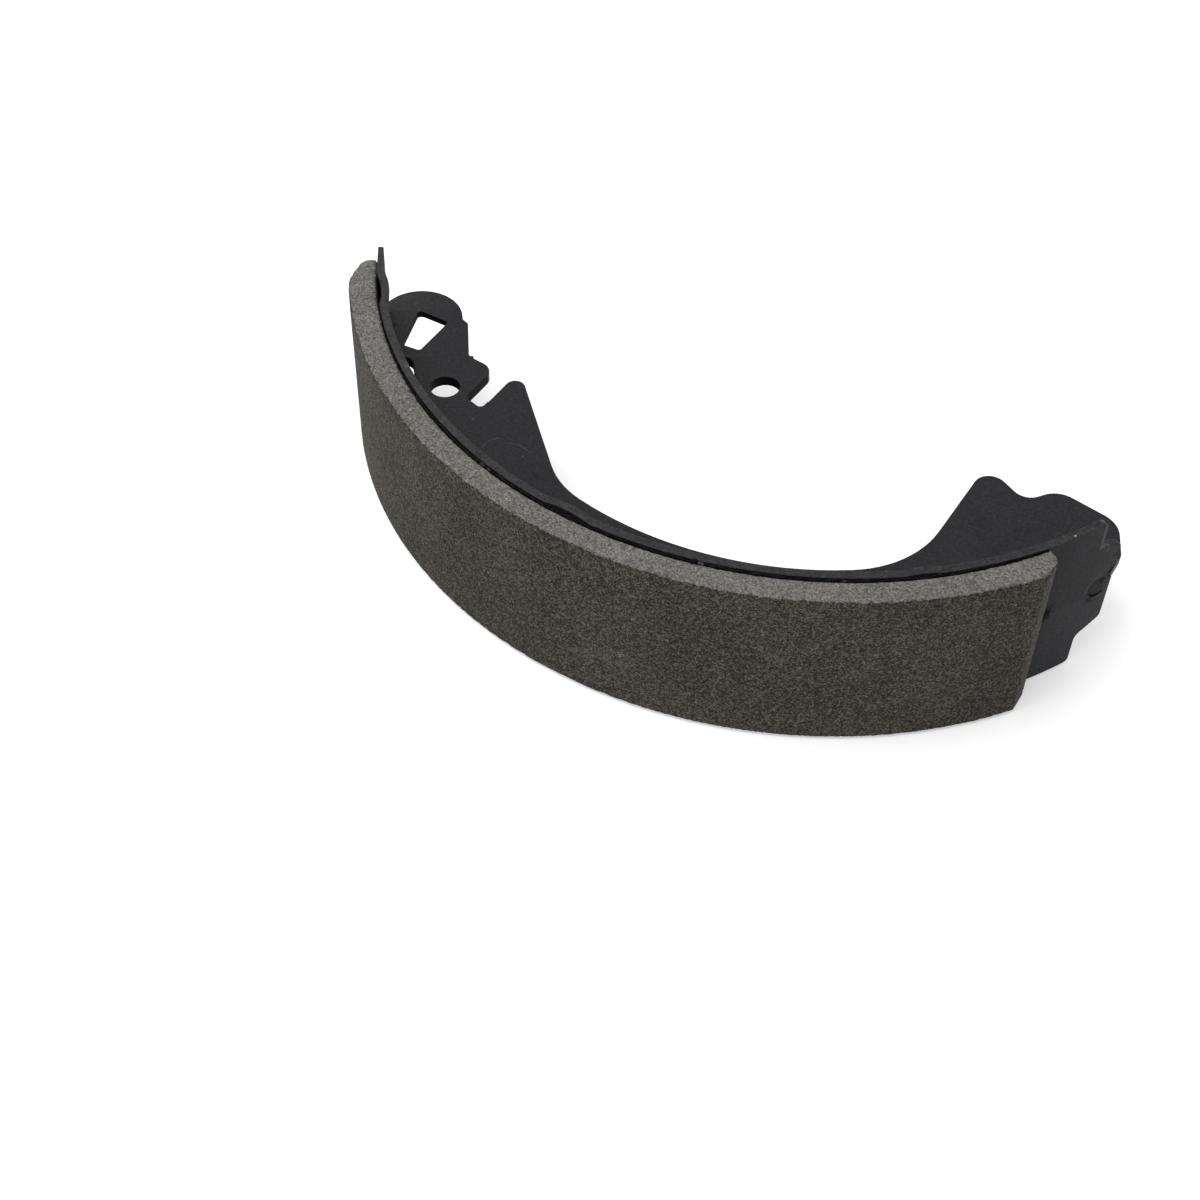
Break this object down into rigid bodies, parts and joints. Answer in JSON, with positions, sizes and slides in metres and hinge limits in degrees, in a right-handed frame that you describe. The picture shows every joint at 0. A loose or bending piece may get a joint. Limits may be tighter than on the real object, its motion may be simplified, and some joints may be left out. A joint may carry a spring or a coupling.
{
  "type": "brake shoe",
  "caption": "Bonded drum brake shoe: curved friction lining on a rolled steel table, and a flat web with anchor head, notched tab, slot, pin hole and spring window.",
  "frame": {"origin": "middle of the bounding box, in the plane of the side edge that the shoe lies on", "axes": "+X towards the anchor head and tab, -Y towards the middle of the lining face, +Z along the drum's axis, up"},
  "size_m": [0.2166, 0.1052, 0.0508],
  "materials": {
    "web_paint": "semi-matte charcoal paint",
    "table_paint": "semi-matte charcoal paint",
    "lining": "moulded friction material, ground face",
    "bond_film": "cured adhesive"
  },
  "bodies": {
    "root": {"web": "web_paint", "table": "table_paint", "lining": "lining", "bond_film": "bond_film"}
  },
  "joints": []
}
